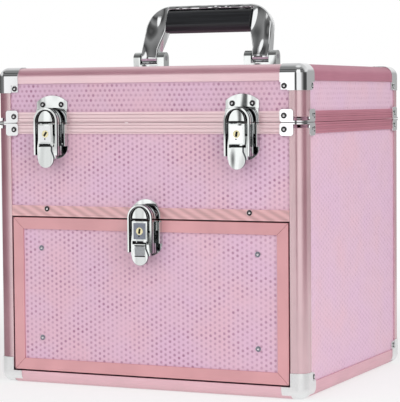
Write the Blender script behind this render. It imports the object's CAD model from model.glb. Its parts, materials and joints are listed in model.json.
import bmesh
import bpy
import json
import math
from mathutils import Matrix, Vector


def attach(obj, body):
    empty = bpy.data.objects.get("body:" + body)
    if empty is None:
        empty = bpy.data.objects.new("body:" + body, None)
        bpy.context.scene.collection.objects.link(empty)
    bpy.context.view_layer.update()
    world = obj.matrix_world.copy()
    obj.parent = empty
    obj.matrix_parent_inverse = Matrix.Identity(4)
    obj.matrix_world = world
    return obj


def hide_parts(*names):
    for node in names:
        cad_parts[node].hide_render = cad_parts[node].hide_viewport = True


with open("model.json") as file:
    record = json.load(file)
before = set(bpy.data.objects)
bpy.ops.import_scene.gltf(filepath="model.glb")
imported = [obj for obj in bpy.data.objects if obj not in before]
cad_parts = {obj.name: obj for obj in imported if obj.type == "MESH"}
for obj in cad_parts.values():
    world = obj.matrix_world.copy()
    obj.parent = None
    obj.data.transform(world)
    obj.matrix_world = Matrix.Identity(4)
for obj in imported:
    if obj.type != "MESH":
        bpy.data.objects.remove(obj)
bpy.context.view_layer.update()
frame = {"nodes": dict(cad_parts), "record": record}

# Makeup case in rose-pink anodised aluminium profiles and sequin-print PVC, with chrome latches.
# Lengths in the dictionaries are in millimetres, and angles in degrees.

mm = 0.001
bandsOneApart = 0.31      # the scale at which a wave texture's bands lie about one unit apart
noiseSpread = (0.3, 0.7)  # most of a noise texture's values lie between these
print("stage: frame loaded,", len(frame["nodes"]), "nodes")


# Small helpers

def colour(hexCode):
    # sRGB hex to linear RGBA
    channels = [int(hexCode[i:i + 2], 16) / 255 for i in (1, 3, 5)]
    return [c / 12.92 if c <= 0.04045 else ((c + 0.055) / 1.055) ** 2.4 for c in channels] + [1.0]


def shade(hexCode, level):
    # The same hex colour made darker or lighter
    parts = [min(255, int(int(hexCode[i:i + 2], 16) * level)) for i in (1, 3, 5)]
    return "#" + "".join(f"{part:02X}" for part in parts)


def addNode(tree, kind, inputs=(), stops=(), **settings):
    # One node with its settings, inputs and colour stops. Inputs go by name or number in a dictionary,
    # or in the node's own order in a tuple; each is a value, a socket, or a node for its first output
    node = tree.nodes.new(kind)
    for name, value in settings.items():
        setattr(node, name, value)
    for key, value in (inputs if isinstance(inputs, dict) else dict(enumerate(inputs))).items():
        if isinstance(value, bpy.types.Node):
            value = value.outputs[0]
        if isinstance(value, bpy.types.NodeSocket):
            tree.links.new(value, node.inputs[key])
        else:
            node.inputs[key].default_value = value
    if stops:
        elements = node.color_ramp.elements
        while len(elements) < len(stops):
            elements.new(0.5)
        for element, (place, tone) in zip(elements, stops):
            element.position = place
            element.color = tone
    return node


def newMaterial(name):
    material = bpy.data.materials.new(name)
    material.use_nodes = True
    material.node_tree.nodes.clear()
    return material, material.node_tree


def objectMm(tree, scale=(1, 1, 1)):
    # Object coordinates in millimetres; a scale below one draws a pattern out along that axis
    place = addNode(tree, "ShaderNodeTexCoord").outputs["Object"]
    return addNode(tree, "ShaderNodeMapping", {"Vector": place, "Scale": [s / mm for s in scale]})


# Sequin-print PVC sheet on board

sequin = {
    "pitchAlong": 4.1,       # dot to dot along a row
    "pitchAcross": 7.6,      # two rows
    "dotRadius": 1.05,
    "dotEdge": 0.75,
    "dotDepth": 0.25,
    "dotFaintest": 0.45,     # the faintest dot against the boldest
    "patchSize": 40.0,       # soft lilac and rose clouds
    "patchSpread": (0.36, 0.5, 0.66),
    "fadeSize": 19.0,        # areas where the print is weaker
    "fadeSpread": (0.34, 0.66),
    "fadeShare": 0.5,
    "glitterSize": 0.45,     # finer in the real film, and drawn as coarse as the render can show
    "glitterSpread": (0.3, 0.72),
    "glitterDepth": 0.12,
    "glitterDark": 0.94,
    "glitterLight": 1.06,
    "patches": ("#DFB7C8", "#DDB8CC", "#DCB7CF"),      # rose, plain pink, lilac
    "dot": "#A97894",
    "roughness": 0.42,
}


def sequinPvc(name, across, along, dotShare=1.0, light=1.0):
    # Embossed PVC film: satin, with rows of small sunken dots that catch less light
    material, tree = newMaterial(name)
    place = objectMm(tree)
    split = addNode(tree, "ShaderNodeSeparateXYZ", (place,))
    flat = addNode(tree, "ShaderNodeCombineXYZ", (split.outputs[across], split.outputs[along]))
    pitch = (sequin["pitchAcross"], sequin["pitchAlong"], 1)
    half = (pitch[0] / 2, pitch[1] / 2, 1)
    dots = []
    for shift in ((0, 0, 0), (half[0], half[1], 0)):      # every other row is set off by half a pitch
        moved = addNode(tree, "ShaderNodeVectorMath", (flat, shift), operation="ADD")
        wrapped = addNode(tree, "ShaderNodeVectorMath", (moved, half, [-h for h in half]), operation="WRAP")
        away = addNode(tree, "ShaderNodeVectorMath", (wrapped,), operation="LENGTH").outputs["Value"]
        edge = addNode(tree, "ShaderNodeMapRange", (
            away, sequin["dotRadius"] + sequin["dotEdge"] / 2, sequin["dotRadius"] - sequin["dotEdge"] / 2,
            0, 1,
        ))
        centre = addNode(tree, "ShaderNodeVectorMath", (moved, wrapped), operation="SUBTRACT")
        count = addNode(tree, "ShaderNodeVectorMath", (centre, pitch), operation="DIVIDE")
        whole = addNode(tree, "ShaderNodeVectorMath", (count, (0.5, 0.5, 0.5)), operation="ADD")
        cell = addNode(tree, "ShaderNodeVectorMath", (whole,), operation="FLOOR")
        chance = addNode(tree, "ShaderNodeTexWhiteNoise", {"Vector": cell}).outputs["Value"]
        boldness = addNode(tree, "ShaderNodeMapRange", (chance, 0, 1, sequin["dotFaintest"], 1))
        dots.append(addNode(tree, "ShaderNodeMath", (edge, boldness), operation="MULTIPLY"))
    dot = addNode(tree, "ShaderNodeMath", dots, operation="MAXIMUM")
    clouds = addNode(tree, "ShaderNodeTexNoise", {
        "Vector": place, "Scale": 1 / sequin["patchSize"], "Detail": 2.0,
    })
    fade = addNode(tree, "ShaderNodeTexNoise", {
        "Vector": place, "Scale": 1 / sequin["fadeSize"], "Detail": 3.0,
    })
    glitter = addNode(tree, "ShaderNodeTexNoise", {
        "Vector": place, "Scale": 1 / sequin["glitterSize"], "Detail": 1.0,
    })
    sheet = addNode(tree, "ShaderNodeValToRGB", (clouds,), stops=[
        (place, colour(tone)) for place, tone in zip(sequin["patchSpread"], sequin["patches"])
    ])
    share = addNode(tree, "ShaderNodeMapRange", (
        fade, *sequin["fadeSpread"], sequin["fadeShare"] * dotShare, dotShare,
    ))
    printed = addNode(tree, "ShaderNodeMath", (dot, share), operation="MULTIPLY")
    dotted = addNode(tree, "ShaderNodeMix", {0: printed, 6: sheet, 7: colour(sequin["dot"])},
                     data_type="RGBA").outputs[2]
    sparkle = addNode(tree, "ShaderNodeMapRange", (
        glitter, *sequin["glitterSpread"], sequin["glitterDark"] * light, sequin["glitterLight"] * light,
    ))
    specked = addNode(tree, "ShaderNodeVectorMath", {0: dotted, "Scale": sparkle}, operation="SCALE")
    grit = addNode(tree, "ShaderNodeMath", (glitter, sequin["glitterDepth"]), operation="MULTIPLY")
    height = addNode(tree, "ShaderNodeMath", (grit, dot), operation="SUBTRACT")
    relief = addNode(tree, "ShaderNodeBump", {
        "Height": height, "Distance": sequin["dotDepth"] * mm, "Strength": 1.0,
    })
    shader = addNode(tree, "ShaderNodeBsdfPrincipled", {
        "Base Color": specked, "Roughness": sequin["roughness"], "Normal": relief,
    })
    addNode(tree, "ShaderNodeOutputMaterial", (shader,))
    return material


# Anodised aluminium

anodised = {
    "dyes": {                # deepest and palest tone of each piece's film
        "profile": ("#A9707E", "#B57C8A"),
        "rail": ("#CC7490", "#D67E9A"),
        "base": ("#CE7C94", "#D8869E"),
        "trim": ("#D2718C", "#DC7B96"),
        "frame": ("#C87A82", "#D2848C"),
        "band": ("#CC7A82", "#D6848C"),
    },
    "gloss": {"profile": 0.42, "rail": 0.6, "base": 0.46, "trim": 0.68, "frame": 0.23, "band": 0.39},
    "roughness": {"profile": 0.24, "rail": 0.28, "base": 0.3, "trim": 0.3, "frame": 0.36, "band": 0.34},
    "filmRoughness": 0.6,
    "bright": "#FBF1F0",     # the metal under the film
    "sideFrom": 120.0,       # the finish is deeper on the sides of the case than on its front
    "sideBlend": 3.0,
    "sideGloss": 0.2,
    "sideDepth": 0.65,
    "baseSideShare": 0.25,   # the bottom rails change less
    "lineSize": 0.35,        # width of the die lines, which are finer on the real extrusion
    "lineDraw": 1 / 80,      # they are drawn out this much along it
    "lineDepth": 0.02,
    "lineDark": 0.95,
    "lineLight": 1.05,
    "cloudSize": 35.0,
    "cloudSpread": (0.35, 0.65),
    "ribPitch": 2.7,
    "ribShare": 0.3,         # how much of a groove is its slope
    "ribDepth": 0.12,
    "ribDark": 0.89,
    "ribLight": 1.02,
}

bandSheen = {                # slanting streaks on the band above the drawer
    "pitch": 5.5,
    "turn": 62.0,
    "waviness": 1.5,
    "waveScale": 0.1,
    "dark": 0.84,
    "light": 1.12,
}


def anodisedAluminium(name, grain, kind="profile", streaks=None, ribbed=False):
    # Dyed film over bright extruded aluminium: deep rose by itself, and paler where it mirrors light
    material, tree = newMaterial(name)
    place = objectMm(tree)
    lines = addNode(tree, "ShaderNodeTexNoise", {
        "Vector": objectMm(tree, grain), "Scale": 1 / anodised["lineSize"], "Detail": 2.0,
    })
    clouds = addNode(tree, "ShaderNodeTexNoise", {
        "Vector": place, "Scale": 1 / anodised["cloudSize"], "Detail": 2.0,
    })
    dye = addNode(tree, "ShaderNodeValToRGB", (clouds,), stops=[
        (place, colour(tone)) for place, tone in zip(anodised["cloudSpread"], anodised["dyes"][kind])
    ])
    level = addNode(tree, "ShaderNodeMapRange", (
        lines, *noiseSpread, anodised["lineDark"], anodised["lineLight"],
    ))
    height, heightMm = lines, anodised["lineDepth"]
    if streaks:
        turned = addNode(tree, "ShaderNodeMapping", {
            "Vector": place, "Rotation": (0, math.radians(streaks["turn"]), 0),
        })
        wave = addNode(tree, "ShaderNodeTexWave", {
            "Vector": turned, "Scale": bandsOneApart / streaks["pitch"], "Distortion": streaks["waviness"],
            "Detail": 1.0, "Detail Scale": streaks["waveScale"],
        }, bands_direction="X").outputs["Fac"]
        sheen = addNode(tree, "ShaderNodeMapRange", (wave, 0, 1, streaks["dark"], streaks["light"]))
        level = addNode(tree, "ShaderNodeMath", (level, sheen), operation="MULTIPLY")
    if ribbed:
        ribs = addNode(tree, "ShaderNodeTexWave", {
            "Vector": place, "Scale": bandsOneApart / anodised["ribPitch"],
        }, bands_direction="Z").outputs["Fac"]
        groove = addNode(tree, "ShaderNodeMapRange", (ribs, 0, anodised["ribShare"], 0, 1))
        shadow = addNode(tree, "ShaderNodeMapRange", (
            groove, 0, 1, anodised["ribDark"], anodised["ribLight"],
        ))
        level = addNode(tree, "ShaderNodeMath", (level, shadow), operation="MULTIPLY")
        ribHeight = addNode(tree, "ShaderNodeMath", (groove, anodised["ribDepth"]), operation="MULTIPLY")
        lineHeight = addNode(tree, "ShaderNodeMath", (lines, anodised["lineDepth"]), operation="MULTIPLY")
        height, heightMm = addNode(tree, "ShaderNodeMath", (ribHeight, lineHeight), operation="ADD"), 1.0
    relief = addNode(tree, "ShaderNodeBump", {
        "Height": height, "Distance": heightMm * mm, "Strength": 1.0,
    })
    across = addNode(tree, "ShaderNodeSeparateXYZ", (place,)).outputs["X"]
    # The corner profiles are deeper on the left alone, everything else on both sides
    sideways = addNode(tree, "ShaderNodeMath", (across, -1),
                       operation="MULTIPLY" if kind == "profile" else "ABSOLUTE")
    beside = addNode(tree, "ShaderNodeMapRange", (
        sideways, anodised["sideFrom"], anodised["sideFrom"] + anodised["sideBlend"],
        0, anodised["baseSideShare"] if kind == "base" else 1,
    ))
    sideLevel = addNode(tree, "ShaderNodeMapRange", (beside, 0, 1, 1, anodised["sideDepth"]))
    dyeLevel = addNode(tree, "ShaderNodeMath", (level, sideLevel), operation="MULTIPLY")
    dyed = addNode(tree, "ShaderNodeVectorMath", {0: dye, "Scale": dyeLevel}, operation="SCALE")
    film = addNode(tree, "ShaderNodeBsdfPrincipled", {
        "Base Color": dyed, "Roughness": anodised["filmRoughness"], "Normal": relief,
    })
    bright = addNode(tree, "ShaderNodeVectorMath", {
        0: colour(anodised["bright"])[:3], "Scale": level,
    }, operation="SCALE")
    metal = addNode(tree, "ShaderNodeBsdfPrincipled", {
        "Base Color": bright, "Metallic": 1.0, "Roughness": anodised["roughness"][kind], "Normal": relief,
    })
    gloss = anodised["gloss"][kind]
    share = addNode(tree, "ShaderNodeMapRange", (beside, 0, 1, gloss, gloss * anodised["sideGloss"]))
    mixed = addNode(tree, "ShaderNodeMixShader", (share, film, metal))
    addNode(tree, "ShaderNodeOutputMaterial", (mixed,))
    return material


# Plated steel

chrome = {
    "plate": "#E4E5E6",
    "pressed": "#CFD2D1",
    "shaded": "#5E6165",     # sides of the latches, which mirror each other
    "roughness": 0.07,
    "shadedRoughness": 0.16,
    "waveSize": 12.0,        # waviness of thin sheet, drawn out along its height
    "waveDraw": 0.35,
    "flatDepth": 0.02,
    "pressedDepth": 1.1,
    "castDepth": 4.6,
    "hazeSize": 1.2,
    "hazeLow": 0.85,         # roughness in the clearest and the haziest spots, against the plate's own
    "hazeHigh": 1.15,
}

latchLayers = {              # bright edges of the steel layers on the latches' sides
    "pitch": 3.3,
    "waviness": 1.2,
    "waveScale": 0.05,
    "from": 0.5,
    "light": "#F4F4F4",
}


def platedSteel(name, base, rough, waveDepth=chrome["flatDepth"], speck=0.0, layers=None):
    # Chrome, nickel or zinc over pressed steel: a mirror with the faint waviness of thin sheet
    material, tree = newMaterial(name)
    place = objectMm(tree)
    wave = addNode(tree, "ShaderNodeTexNoise", {
        "Vector": objectMm(tree, (1, 1, chrome["waveDraw"])), "Scale": 1 / chrome["waveSize"],
        "Detail": 0.0,
    })
    haze = addNode(tree, "ShaderNodeTexNoise", {
        "Vector": place, "Scale": 1 / chrome["hazeSize"], "Detail": 3.0,
    })
    tone = colour(base)
    if speck:
        tone = addNode(tree, "ShaderNodeValToRGB", (haze,), stops=[
            (noiseSpread[0], colour(base)), (noiseSpread[1], colour(shade(base, 1 - speck))),
        ])
    if layers:
        bands = addNode(tree, "ShaderNodeTexWave", {
            "Vector": place, "Scale": bandsOneApart / layers["pitch"], "Distortion": layers["waviness"],
            "Detail Scale": layers["waveScale"],
        }, bands_direction="Y").outputs["Fac"]
        edge = addNode(tree, "ShaderNodeMapRange", (bands, layers["from"], 1, 0, 1))
        tone = addNode(tree, "ShaderNodeMix", {0: edge, 6: tone, 7: colour(layers["light"])},
                       data_type="RGBA").outputs[2]
    polish = addNode(tree, "ShaderNodeMapRange", (
        haze, *noiseSpread, rough * chrome["hazeLow"], rough * chrome["hazeHigh"],
    ))
    relief = addNode(tree, "ShaderNodeBump", {
        "Height": wave, "Distance": waveDepth * mm, "Strength": 1.0,
    })
    shader = addNode(tree, "ShaderNodeBsdfPrincipled", {
        "Base Color": tone, "Metallic": 1.0, "Roughness": polish, "Normal": relief,
    })
    addNode(tree, "ShaderNodeOutputMaterial", (shader,))
    return material


# Plastic, velour and faced board

plasticPolish = 0.05         # how far a moulded piece's roughness varies

grip = {
    "tones": ("#101113", "#24262A"),
    "draw": 1 / 60,          # the grip's grain runs along the handle
}

velour = {
    "tones": ("#1B1A1D", "#2A282C"),
    "napSize": 9.0,
    "pileSize": 0.5,
    "pileDepth": 0.25,
    "roughness": 0.95,
    "sheen": 0.5,
    "sheenRoughness": 0.4,
}

board = {
    "tones": ("#262428", "#353238"),
    "pebbleSize": 1.6,
    "pebbleSpread": (0.1, 0.7),
    "pebbleDepth": 0.12,
    "roughness": 0.6,
}


def grainedPlastic(name, tones, rough, grainSize, grainDepth, along=(1, 1, 1)):
    # Moulded plastic with a fine grain, drawn out along the piece where it was extruded
    material, tree = newMaterial(name)
    grain = addNode(tree, "ShaderNodeTexNoise", {
        "Vector": objectMm(tree, along), "Scale": 1 / grainSize, "Detail": 3.0,
    })
    tone = colour(tones[0])
    if len(tones) > 1:
        tone = addNode(tree, "ShaderNodeValToRGB", (grain,), stops=[
            (place, colour(tone)) for place, tone in zip(noiseSpread, tones)
        ])
    polish = addNode(tree, "ShaderNodeMapRange", (
        grain, *noiseSpread, rough - plasticPolish, rough + plasticPolish,
    ))
    relief = addNode(tree, "ShaderNodeBump", {
        "Height": grain, "Distance": grainDepth * mm, "Strength": 1.0,
    })
    shader = addNode(tree, "ShaderNodeBsdfPrincipled", {
        "Base Color": tone, "Roughness": polish, "Normal": relief,
    })
    addNode(tree, "ShaderNodeOutputMaterial", (shader,))
    return material


def velourLining(name):
    # Short-pile black velour over foam: dark, with a soft sheen and a mottled nap
    material, tree = newMaterial(name)
    place = objectMm(tree)
    nap = addNode(tree, "ShaderNodeTexNoise", {
        "Vector": place, "Scale": 1 / velour["napSize"], "Detail": 4.0,
    })
    pile = addNode(tree, "ShaderNodeTexNoise", {
        "Vector": place, "Scale": 1 / velour["pileSize"], "Detail": 2.0,
    })
    tone = addNode(tree, "ShaderNodeValToRGB", (nap,), stops=[
        (place, colour(tone)) for place, tone in zip(noiseSpread, velour["tones"])
    ])
    relief = addNode(tree, "ShaderNodeBump", {
        "Height": pile, "Distance": velour["pileDepth"] * mm, "Strength": 1.0,
    })
    shader = addNode(tree, "ShaderNodeBsdfPrincipled", {
        "Base Color": tone, "Roughness": velour["roughness"], "Sheen Weight": velour["sheen"],
        "Sheen Roughness": velour["sheenRoughness"], "Normal": relief,
    })
    addNode(tree, "ShaderNodeOutputMaterial", (shader,))
    return material


def facedBoard(name):
    # Paper-faced board with a fine pebbled print
    material, tree = newMaterial(name)
    pebble = addNode(tree, "ShaderNodeTexVoronoi", {
        "Vector": objectMm(tree), "Scale": 1 / board["pebbleSize"], "Randomness": 1.0,
    }).outputs["Distance"]
    tone = addNode(tree, "ShaderNodeValToRGB", (pebble,), stops=[
        (place, colour(tone)) for place, tone in zip(board["pebbleSpread"], board["tones"])
    ])
    relief = addNode(tree, "ShaderNodeBump", {
        "Height": pebble, "Distance": board["pebbleDepth"] * mm, "Strength": 1.0,
    })
    shader = addNode(tree, "ShaderNodeBsdfPrincipled", {
        "Base Color": tone, "Roughness": board["roughness"], "Normal": relief,
    })
    addNode(tree, "ShaderNodeOutputMaterial", (shader,))
    return material


frontRows = sequinPvc("sequin_pvc_front", "X", "Z")
lidRows = sequinPvc("sequin_pvc_lid", "Z", "X", light=0.955)
sideRows = sequinPvc("sequin_pvc_side", "Y", "Z", dotShare=0.3, light=1.03)
lidSideRows = sequinPvc("sequin_pvc_lid_side", "Z", "Y", dotShare=0.3)
topRows = sequinPvc("sequin_pvc_top", "X", "Y", dotShare=0.8)

draw = anodised["lineDraw"]
uprightAluminium = anodisedAluminium("anodised_upright_profile", (1, 1, draw))
levelAluminium = anodisedAluminium("anodised_level_profile", (draw, draw, 1), kind="rail")
baseAluminium = anodisedAluminium("anodised_bottom_rail", (draw, draw, 1), kind="base")
trimAluminium = anodisedAluminium("anodised_ribbed_trim", (draw, draw, 1), kind="trim", ribbed=True)
frameAluminium = anodisedAluminium("anodised_drawer_frame", (draw, 1, draw), kind="frame")
bandAluminium = anodisedAluminium("anodised_ribbed_band", (draw, 1, 1), kind="band", streaks=bandSheen)

mirrorChrome = platedSteel("bright_chrome", chrome["plate"], chrome["roughness"])
pressedChrome = platedSteel("pressed_chrome", chrome["pressed"], chrome["roughness"],
                            chrome["pressedDepth"])
castChrome = platedSteel("cast_chrome", chrome["plate"], chrome["roughness"], chrome["castDepth"])
shadedChrome = platedSteel("shaded_chrome", chrome["shaded"], chrome["shadedRoughness"],
                           chrome["pressedDepth"], layers=latchLayers)
satinNickel = platedSteel("satin_nickel", "#F2F3F3", rough=0.42, speck=0.02)
smokedNickel = platedSteel("smoked_satin_nickel", "#8B909C", rough=0.3, speck=0.1)
zincSteel = platedSteel("zinc_plated_steel", "#B4B7BA", rough=0.36, speck=0.1)
brass = platedSteel("turned_brass", "#F0E6BC", rough=0.26, speck=0.05)

gripBlack = grainedPlastic("black_grip_plastic", grip["tones"], rough=0.36, grainSize=0.9,
                           grainDepth=0.12, along=(grip["draw"], 1, 1))
gapBlack = grainedPlastic("keyhole_shadow", ("#050505",), rough=0.8, grainSize=0.8, grainDepth=0.02)
whitePlastic = grainedPlastic("white_glide_plastic", ("#DAD9D6",), rough=0.45, grainSize=0.9,
                              grainDepth=0.03)
lining = velourLining("black_velour")
blackBoard = facedBoard("black_faced_board")
print("stage: materials")


# Finished copies of the CAD pieces

edgeFinish = {
    "weld": 0.002,           # corners of loose triangles closer than this are one
    "flatAngle": 0.6,        # facets that turn less are one flat face
    "sharpAngle": 32,        # edges that turn more are broken by a small round
    "roundSteps": 3,
    "flatWeight": 90,
}

bodyOf = {node: body for body, nodes in frame["record"]["behaviour"]["bodies"].items() for node in nodes}


def giveMaterial(target, material):
    target.data.materials.clear()
    target.data.materials.append(material)


def addPiece(mesh, name, material, node, inPlace=False, sharpAngle=edgeFinish["sharpAngle"]):
    # A new piece that rides with a CAD node, or stands in its place
    for face in mesh.polygons:
        face.use_smooth = True
    mesh.set_sharp_from_angle(angle=math.radians(sharpAngle))
    piece = bpy.data.objects.new(name, mesh)
    bpy.context.scene.collection.objects.link(piece)
    giveMaterial(piece, material)
    flat = piece.modifiers.new("flat_faces", "WEIGHTED_NORMAL")
    flat.keep_sharp = True
    flat.weight = edgeFinish["flatWeight"]
    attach(piece, bodyOf[node])
    if inPlace:
        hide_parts(node)
    return piece


def finishedCopy(node, material, edgeMm):
    # The node's own shape with its hard edges broken by a small round, and smooth shading
    shape = bmesh.new()
    shape.from_mesh(frame["nodes"][node].data)
    bmesh.ops.remove_doubles(shape, verts=shape.verts, dist=edgeFinish["weld"] * mm)
    bmesh.ops.dissolve_limit(shape, angle_limit=math.radians(edgeFinish["flatAngle"]), verts=shape.verts,
                             edges=shape.edges)
    hard = [e for e in shape.edges if len(e.link_faces) == 2 and
            e.calc_face_angle(0) > math.radians(edgeFinish["sharpAngle"])]
    bmesh.ops.bevel(shape, geom=hard, offset=edgeMm * mm, offset_type="OFFSET",
                    segments=edgeFinish["roundSteps"], profile=0.5, affect="EDGES", material=-1,
                    clamp_overlap=True)
    mesh = bpy.data.meshes.new(f"{node}_finish")
    shape.to_mesh(mesh)
    shape.free()
    return addPiece(mesh, f"{node}_finish", material, node, inPlace=True)


# Pieces that keep their CAD shape as it is
plainPieces = {
    "body_left_panel": sideRows, "body_right_panel": sideRows, "body_back_panel": frontRows,
    "body_front_panel": frontRows, "body_bottom_panel": topRows, "compartment_floor": blackBoard,
    "compartment_lining": lining, "lid_lining": lining, "drawer_lining": lining,
    "drawer_runners": zincSteel, "lid_top_panel": topRows, "lid_front_panel": lidRows,
    "lid_back_panel": lidRows, "lid_left_panel": lidSideRows, "lid_right_panel": lidSideRows,
    "drawer_front_board": frontRows, "drawer_sides": blackBoard, "drawer_back": blackBoard,
    "drawer_bottom": blackBoard, "drawer_glides": whitePlastic, "hinge_pins": zincSteel,
    "lid_latch_pins": zincSteel, "drawer_latch_pin": zincSteel, "handle_pins": zincSteel,
}
for node, material in plainPieces.items():
    giveMaterial(frame["nodes"][node], material)

# Pieces with softened edges, each with the size of its round
softenedPieces = {
    "drawer_band": (bandAluminium, 0.12), "body_corner_profiles": (uprightAluminium, 0.15),
    "body_bottom_rails": (baseAluminium, 0.15), "body_rim_trim": (trimAluminium, 0.12),
    "body_corner_caps": (satinNickel, 0.25), "body_corner_clips": (mirrorChrome, 0.4),
    "hinge_body_leaves": (mirrorChrome, 0.15),
    "lid_latch_bases": (pressedChrome, 0.35), "drawer_strike": (pressedChrome, 0.35),
    "lid_top_rails": (levelAluminium, 0.15), "lid_corner_profiles": (uprightAluminium, 0.15),
    "lid_rim_trim": (trimAluminium, 0.12), "lid_corner_caps": (mirrorChrome, 0.25),
    "lid_corner_clips": (mirrorChrome, 0.4),
    "hinge_lid_leaves": (mirrorChrome, 0.15), "lid_strikes": (pressedChrome, 0.35),
    "handle_brackets": (pressedChrome, 0.5), "handle_arch": (castChrome, 2.4),
    "handle_grip": (gripBlack, 0.6), "drawer_front_frame": (frameAluminium, 0.12),
    "drawer_latch_base": (pressedChrome, 0.35),
}
for latch in ("left", "right", "drawer"):
    softenedPieces[f"{latch}_latch_lever"] = (pressedChrome, 0.7)
    softenedPieces[f"{latch}_latch_bail"] = (pressedChrome, 0.72)
    softenedPieces[f"{latch}_key_plug"] = (brass, 0.1)
for node, (material, edgeMm) in softenedPieces.items():
    finishedCopy(node, material, edgeMm)

latchShade = {
    "frontTurn": -0.97,      # faces of the levers and bails that turn further from the front are in shade
    "webY": -119.1,          # the sunken web behind each bail's dome stays in its own shadow
    "webReach": 0.1,
}
for latch in ("left", "right", "drawer"):
    for part in ("lever", "bail"):
        steel = bpy.data.objects[f"{latch}_latch_{part}_finish"].data
        steel.materials.append(gapBlack)
        steel.materials.append(shadedChrome)
        for face in steel.polygons:
            onWeb = abs(face.center.y - latchShade["webY"] * mm) < latchShade["webReach"] * mm
            if face.normal.y > latchShade["frontTurn"]:
                face.material_index = steel.materials.find("shaded_chrome")
            elif part == "bail" and onWeb:
                face.material_index = steel.materials.find("keyhole_shadow")
print("stage: metal fittings")


# Rivets with a dark ring around a small dome

rivetHead = {
    "profile": [(0.0, 1.0), (0.45, 0.96), (0.8, 0.82), (1.05, 0.55), (1.12, 0.14), (1.98, 0.1),
                (2.04, 0.34), (2.14, 0.38), (2.25, 0.24), (2.3, 0.0)],
    "turns": 20,
    "grooveFrom": 1.06,
    "grooveTo": 2.02,
    "rimFrom": 1.8,          # points of a rivet this far off its axis lie on the flat of its head
    "weld": 0.01,
    "sharpAngle": 70,
}


def rivetSeats(node):
    # Centre of the seat and the way out of the surface for each rivet of a CAD node
    solids = bmesh.new()
    solids.from_mesh(frame["nodes"][node].data)
    bmesh.ops.remove_doubles(solids, verts=solids.verts, dist=edgeFinish["weld"] * mm)
    seen, seats = set(), []
    for start in solids.verts:
        if start in seen:
            continue
        seen.add(start)
        group, queue = [], [start]
        while queue:
            point = queue.pop()
            group.append(point.co.copy())
            for link in point.link_edges:
                other = link.other_vert(point)
                if other not in seen:
                    seen.add(other)
                    queue.append(other)
        low = Vector([min(p[i] for p in group) for i in range(3)])
        high = Vector([max(p[i] for p in group) for i in range(3)])
        spans = high - low
        axis = max(range(3), key=lambda i: abs(spans[i] - sorted(spans)[1]))      # the other two are equal
        middle = (low + high) / 2
        aside = [i for i in range(3) if i != axis]
        head = [p[axis] for p in group
                if math.hypot(*((p - middle)[i] for i in aside)) > rivetHead["rimFrom"] * mm]
        seat = sum(head) / len(head)
        outward = Vector([0, 0, 0])
        outward[axis] = 1 if seat > middle[axis] else -1
        middle[axis] = seat
        seats.append((middle, outward))
    solids.free()
    return seats


def rivetHeads(node):
    seats = rivetSeats(node)
    shape = bmesh.new()
    for seat, outward in seats:
        turn = outward.to_track_quat("Z", "Y").to_matrix().to_4x4()
        place = Matrix.Translation(seat) @ turn
        points = [shape.verts.new(place @ Vector((r * mm, 0, h * mm))) for r, h in rivetHead["profile"]]
        edges = [shape.edges.new(pair) for pair in zip(points, points[1:])]
        bmesh.ops.spin(shape, geom=points + edges, cent=seat, axis=outward, angle=2 * math.pi,
                       steps=rivetHead["turns"], use_merge=True)
    bmesh.ops.remove_doubles(shape, verts=shape.verts, dist=rivetHead["weld"] * mm)
    bmesh.ops.recalc_face_normals(shape, faces=shape.faces)
    for face in shape.faces:
        middle = face.calc_center_median()
        seat, outward = min(seats, key=lambda s: (s[0] - middle).length)
        if face.normal.dot(outward) < -0.05:      # an open head may have been turned inside out
            face.normal_flip()
    mesh = bpy.data.meshes.new(f"{node}_heads")
    shape.to_mesh(mesh)
    shape.free()
    piece = addPiece(mesh, f"{node}_heads", mirrorChrome, node, inPlace=True,
                     sharpAngle=rivetHead["sharpAngle"])
    piece.data.materials.append(smokedNickel if node == "drawer_rivets" else gapBlack)
    for face in piece.data.polygons:
        seat, outward = min(seats, key=lambda s: (s[0] - face.center).length)
        away = face.center - seat
        across = (away - away.dot(outward) * outward).length
        if rivetHead["grooveFrom"] * mm < across < rivetHead["grooveTo"] * mm:
            face.material_index = 1


for node in ("body_rivets", "lid_rivets", "drawer_rivets"):
    rivetHeads(node)
print("stage: rivets")


# Lock faces, keyholes, the shadows in the latches' joints and the drawer's pull tab

latchDetail = {
    "lines": {"left": (-81.2, 206.8), "right": (81.2, 206.8), "drawer": (0.0, 132.7)},     # x, top of lock
    "faceY": -121.01,
    "faceWidth": 10.2,
    "faceHeight": 12.4,
    "faceDrop": 8.4,         # from the top line to the middle of the lock
    "borderWidth": 0.6,
    "borderRise": 0.2,
    "keyholeY": -121.32,
    "keyhole": (1.75, 3.9),
    "keyTurn": {"left": 35.0, "right": 10.0, "drawer": 10.0},
    "shadows": {             # part it rides on; x, y and height from the line; width and height
        "lock_dimple": ("base", (-0.4, -121.24, -12.3), (1.1, 1.1)),
        "cap_shadow": ("bail", (0.0, -121.32, 0.55), (12.0, 1.5)),
        "tab_shadow": ("lever", (0.0, -121.02, -17.75), (9.2, 1.3)),
        "pad_top": ("lever", (0.0, -121.02, -19.55), (8.8, 0.9)),
        "pad_bottom": ("lever", (0.0, -121.02, -27.65), (8.8, 0.9)),
    },
    "padSize": (8.4, 0.7, 7.4),
    "padPlace": (-121.0, -23.6),
    "padCorner": 1.6,
    "padEdge": 0.25,
}


def latchNode(latch, part):
    # The two lid latches share one CAD node for their bases
    if part == "base" and latch != "drawer":
        return "lid_latch_bases"
    return f"{latch}_key_plug" if part == "plug" else f"{latch}_latch_{part}"


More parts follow.
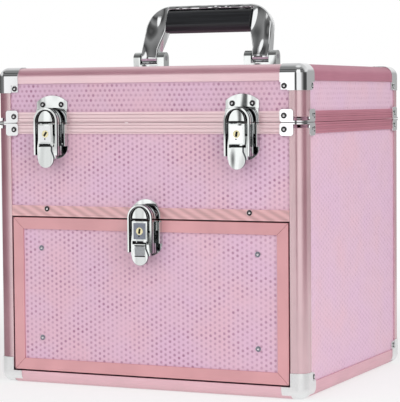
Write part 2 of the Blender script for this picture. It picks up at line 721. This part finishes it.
def frontPanel(width, height, centre, rise=0.0, border=0.0, turn=0.0):
    # A flat panel that faces the front, with a raised or sunken middle inside a sloping border
    shape = bmesh.new()
    bmesh.ops.create_grid(shape, x_segments=1, y_segments=1, size=0.5)
    bmesh.ops.scale(shape, vec=(width * mm, height * mm, 1), verts=shape.verts)
    for angle, axis in ((90, "X"), (turn, "Y")):
        bmesh.ops.rotate(shape, cent=(0, 0, 0), matrix=Matrix.Rotation(math.radians(angle), 3, axis),
                         verts=shape.verts)
    bmesh.ops.translate(shape, vec=Vector(centre) * mm, verts=shape.verts)
    if border:
        bmesh.ops.inset_region(shape, faces=shape.faces[:], thickness=border * mm, depth=rise * mm)
    return shape


def raisedPad(size, centre, corner, edge):
    # A thin pad with rounded corners and a soft edge, facing the front
    shape = bmesh.new()
    bmesh.ops.create_cube(shape, size=1.0)
    bmesh.ops.scale(shape, vec=Vector(size) * mm, verts=shape.verts)
    upright = [e for e in shape.edges if abs(e.verts[0].co.y - e.verts[1].co.y) > 0.5 * size[1] * mm]
    bmesh.ops.bevel(shape, geom=upright, offset=corner * mm, offset_type="OFFSET", segments=5, profile=0.5,
                    affect="EDGES", material=-1)
    rim = [e for e in shape.edges if all(v.co.y < 0 for v in e.verts)]
    bmesh.ops.bevel(shape, geom=rim, offset=edge * mm, offset_type="OFFSET", segments=3, profile=0.5,
                    affect="EDGES", material=-1)
    bmesh.ops.translate(shape, vec=Vector(centre) * mm, verts=shape.verts)
    return shape


def addPanel(shape, name, material, node):
    mesh = bpy.data.meshes.new(name)
    shape.to_mesh(mesh)
    shape.free()
    addPiece(mesh, name, material, node)


def addShadow(latch, title):
    # The dark line in a joint between two pressings
    part, (aside, y, above), size = latchDetail["shadows"][title]
    x, line = latchDetail["lines"][latch]
    addPanel(frontPanel(*size, (x + aside, y, line + above)), f"{latch}_{title}", gapBlack,
             latchNode(latch, part))


for latch, (x, line) in latchDetail["lines"].items():
    lockZ = line - latchDetail["faceDrop"]
    lock = frontPanel(latchDetail["faceWidth"], latchDetail["faceHeight"], (x, latchDetail["faceY"], lockZ),
                      latchDetail["borderRise"], latchDetail["borderWidth"])
    addPanel(lock, f"{latch}_lock_face", smokedNickel if latch == "drawer" else mirrorChrome,
             latchNode(latch, "base"))
    slit = frontPanel(*latchDetail["keyhole"], (x, latchDetail["keyholeY"], lockZ),
                      turn=latchDetail["keyTurn"][latch])
    addPanel(slit, f"{latch}_keyhole", gapBlack, latchNode(latch, "plug"))
    for title in ("lock_dimple", "cap_shadow", "tab_shadow"):
        addShadow(latch, title)
tabX, tabLine = latchDetail["lines"]["drawer"]
padY, padDrop = latchDetail["padPlace"]
pad = raisedPad(latchDetail["padSize"], (tabX, padY, tabLine + padDrop), latchDetail["padCorner"],
                latchDetail["padEdge"])
addPanel(pad, "drawer_tab_pad", zincSteel, latchNode("drawer", "lever"))
for title in ("pad_top", "pad_bottom"):
    addShadow("drawer", title)
print("stage: lock faces and keyholes")


# Floor, camera and light

studio = {
    "floorReach": 800.0,
    "floorGlow": 0.6,        # share of plain white near the case, all of it further out
    "glowFrom": 280.0,
    "glowTo": 720.0,
    "floorWhite": "#F6F6F6",
    "fill": 0.55,            # strength of the white room
    "lamps": {"key_softbox": ((1250, -700, 800), 14), "front_softbox": ((-500, -1300, 700), 6)},
    "lampSize": 1500.0,
    "lampAim": (0, 0, 130),
    "cameraPlace": (609.4, -1339.6, 224.1),
    "yaw": 24.62,
    "pitch": 3.24,
    "roll": -0.48,
    "focalLength": 160.25,
    "sensor": 36.0,
    "cameraReach": 50000.0,
}

# What bright metal sees: grey level by compass angle near the horizon (degrees from the front,
# positive to the right), and by height in front of and behind the case
reflections = {
    "around": [(-180, 0.95), (-140, 0.95), (-126, 0.4), (-112, 0.08), (-92, 0.08), (-75, 0.2),
               (-50, 0.22), (-40, 0.35), (-36, 1.1), (-31.5, 1.2), (-29.5, 0.95), (-26.5, 1.5),
               (-20.5, 1.5), (-18.5, 0.1), (0, 0.1), (3, 1.15), (43, 1.1), (58, 0.45), (77, 0.07),
               (112, 0.07), (122, 0.5), (165, 0.5), (180, 0.95)],
    "aboveFront": [(0.0, 0.5), (0.2, 0.1), (0.36, 0.24), (0.44, 0.06), (0.5, 0.14), (0.55, 0.3),
                   (0.62, 0.22), (0.7, 0.05), (0.78, 0.3), (0.92, 0.28), (0.97, 0.9), (1.0, 0.95)],
    "aboveBack": [(0.0, 0.95), (0.3, 0.95), (0.62, 0.8), (0.92, 0.7), (1.0, 0.95)],
    "turnOver": (0.2, 0.34),                    # heights between which the ceiling takes over
    "backFrom": (-0.1, 0.3),
    "boxes": [((-5, 45), (0.2, 0.75), 1.2), ((-115, -62), (0.15, 0.6), 0.9)],     # angles, heights, level
    "boxBlend": (3.0, 0.04),
}


def paleFloor():
    # Pale floor that keeps the soft shadow under the case and fades into the backdrop's white
    bpy.ops.mesh.primitive_circle_add(vertices=96, radius=studio["floorReach"] * mm, fill_type="NGON")
    floor = bpy.context.object
    floor.name = "floor"
    material, tree = newMaterial("pale_floor")
    place = addNode(tree, "ShaderNodeTexCoord").outputs["Object"]
    reach = addNode(tree, "ShaderNodeVectorMath", (place,), operation="LENGTH").outputs["Value"]
    far = addNode(tree, "ShaderNodeMapRange", (reach, studio["glowFrom"] * mm, studio["glowTo"] * mm, 0, 1))
    whiter = addNode(tree, "ShaderNodeMapRange", (far, 0, 1, studio["floorGlow"], 1))
    ray = addNode(tree, "ShaderNodeLightPath").outputs
    direct = addNode(tree, "ShaderNodeMath", (ray["Is Camera Ray"], ray["Is Glossy Ray"]),
                     operation="MAXIMUM")
    seen = addNode(tree, "ShaderNodeMath", (whiter, direct), operation="MULTIPLY")
    plain = addNode(tree, "ShaderNodeBsdfDiffuse", {"Color": colour(studio["floorWhite"])})
    glow = addNode(tree, "ShaderNodeEmission", {"Color": (1, 1, 1, 1), "Strength": 1.0})
    mixed = addNode(tree, "ShaderNodeMixShader", (seen, plain, glow))
    addNode(tree, "ShaderNodeOutputMaterial", (mixed,))
    giveMaterial(floor, material)


def areaLamp(name, place, power):
    lamp = bpy.data.lights.new(name, "AREA")
    lamp.shape = "RECTANGLE"
    lamp.size = lamp.size_y = studio["lampSize"] * mm
    lamp.energy = power
    holder = bpy.data.objects.new(name, lamp)
    bpy.context.scene.collection.objects.link(holder)
    holder.location = [p * mm for p in place]
    aim = Vector(studio["lampAim"]) * mm - holder.location
    holder.rotation_euler = aim.to_track_quat("-Z", "Y").to_euler()
    holder.visible_glossy = False      # bright metal mirrors the room below, not the lamps


def greyLevels(tree, value, steps):
    # Grey level along one direction of the room, from a list of (place, level)
    low, high = steps[0][0], steps[-1][0]
    part = addNode(tree, "ShaderNodeMapRange", (value, low, high, 0, 1))
    return addNode(tree, "ShaderNodeValToRGB", (part,), stops=[
        ((place - low) / (high - low), (level, level, level, 1)) for place, level in steps
    ])


def litBox(tree, turn, height, azimuths, heights, level):
    # One lamp box on the wall: its level inside, and a short soft border
    inside = level
    for value, (low, high), soft in zip((turn, height), (azimuths, heights), reflections["boxBlend"]):
        start = addNode(tree, "ShaderNodeMapRange", (value, low, low + soft, 0, 1))
        end = addNode(tree, "ShaderNodeMapRange", (value, high - soft, high, 1, 0))
        for side in (start, end):
            inside = addNode(tree, "ShaderNodeMath", (inside, side), operation="MULTIPLY")
    return inside


def studioWorld():
    # White for the camera, even fill for matt surfaces, and the lit room for bright metal
    world = bpy.data.worlds.new("studio_world")
    bpy.context.scene.world = world
    world.use_nodes = True
    tree = world.node_tree
    tree.nodes.clear()
    way = addNode(tree, "ShaderNodeTexCoord").outputs["Generated"]
    x, y, z = addNode(tree, "ShaderNodeSeparateXYZ", (way,)).outputs
    forward = addNode(tree, "ShaderNodeMath", (y, -1), operation="MULTIPLY")
    radians = addNode(tree, "ShaderNodeMath", (x, forward), operation="ARCTAN2")
    turn = addNode(tree, "ShaderNodeMath", (radians,), operation="DEGREES")
    around = greyLevels(tree, turn, reflections["around"])
    front = greyLevels(tree, z, reflections["aboveFront"])
    back = greyLevels(tree, z, reflections["aboveBack"])
    behind = addNode(tree, "ShaderNodeMapRange", (y, *reflections["backFrom"], 0, 1))
    above = addNode(tree, "ShaderNodeMix", {0: behind, 6: front, 7: back}, data_type="RGBA").outputs[2]
    for azimuths, heights, level in reflections["boxes"]:
        box = litBox(tree, turn, z, azimuths, heights, level)
        above = addNode(tree, "ShaderNodeVectorMath", (above, box), operation="MAXIMUM")
    ceiling = addNode(tree, "ShaderNodeMapRange", (z, *reflections["turnOver"], 0, 1))
    room = addNode(tree, "ShaderNodeMix", {0: ceiling, 6: around, 7: above}, data_type="RGBA").outputs[2]
    fill = addNode(tree, "ShaderNodeBackground", {"Color": (1, 1, 1, 1), "Strength": studio["fill"]})
    mirrored = addNode(tree, "ShaderNodeBackground", {"Color": room, "Strength": 1.0})
    white = addNode(tree, "ShaderNodeBackground", {"Color": (1, 1, 1, 1), "Strength": 1.0})
    ray = addNode(tree, "ShaderNodeLightPath").outputs
    direct = addNode(tree, "ShaderNodeMath", (ray["Is Camera Ray"], ray["Is Transmission Ray"]),
                     operation="MAXIMUM")
    lit = addNode(tree, "ShaderNodeMixShader", (ray["Is Glossy Ray"], fill, mirrored))
    mixed = addNode(tree, "ShaderNodeMixShader", (direct, lit, white))
    addNode(tree, "ShaderNodeOutputWorld", (mixed,))


def photoCamera():
    camera = bpy.data.cameras.new("camera")
    camera.lens = studio["focalLength"]
    camera.sensor_width = studio["sensor"]
    camera.clip_end = studio["cameraReach"] * mm
    holder = bpy.data.objects.new("camera", camera)
    bpy.context.scene.collection.objects.link(holder)
    holder.location = [p * mm for p in studio["cameraPlace"]]
    turn = (Matrix.Rotation(math.radians(studio["yaw"]), 4, "Z")
            @ Matrix.Rotation(math.radians(90 - studio["pitch"]), 4, "X")
            @ Matrix.Rotation(math.radians(studio["roll"]), 4, "Z"))
    holder.rotation_euler = turn.to_euler()
    bpy.context.scene.camera = holder


paleFloor()
studioWorld()
photoCamera()
for name, (place, power) in studio["lamps"].items():
    areaLamp(name, place, power)
bpy.context.scene.view_settings.view_transform = "Standard"
print("stage: studio")
